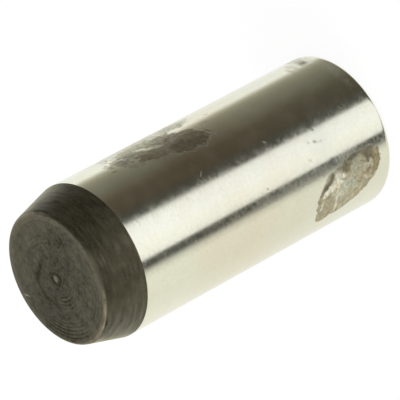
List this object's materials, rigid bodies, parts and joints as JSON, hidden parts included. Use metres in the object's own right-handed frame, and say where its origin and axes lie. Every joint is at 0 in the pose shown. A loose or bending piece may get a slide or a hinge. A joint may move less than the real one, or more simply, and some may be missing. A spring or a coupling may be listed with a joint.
{
  "type": "dowel pin",
  "caption": "Solid round steel dowel pin with a ground shank, a tapered black lead at one end and a plain end that it stands on.",
  "frame": {"origin": "centre of the plain end's bounding circle, on the surface the pin stands on", "axes": "+Z along the pin's axis, from the plain end to the tapered lead; X and Y are any two directions across it"},
  "size_m": [0.012, 0.012, 0.028],
  "materials": {
    "steel": "ground bright on the shank, left black on the lead"
  },
  "bodies": {
    "root": {"dowel_pin": "steel"}
  },
  "joints": []
}
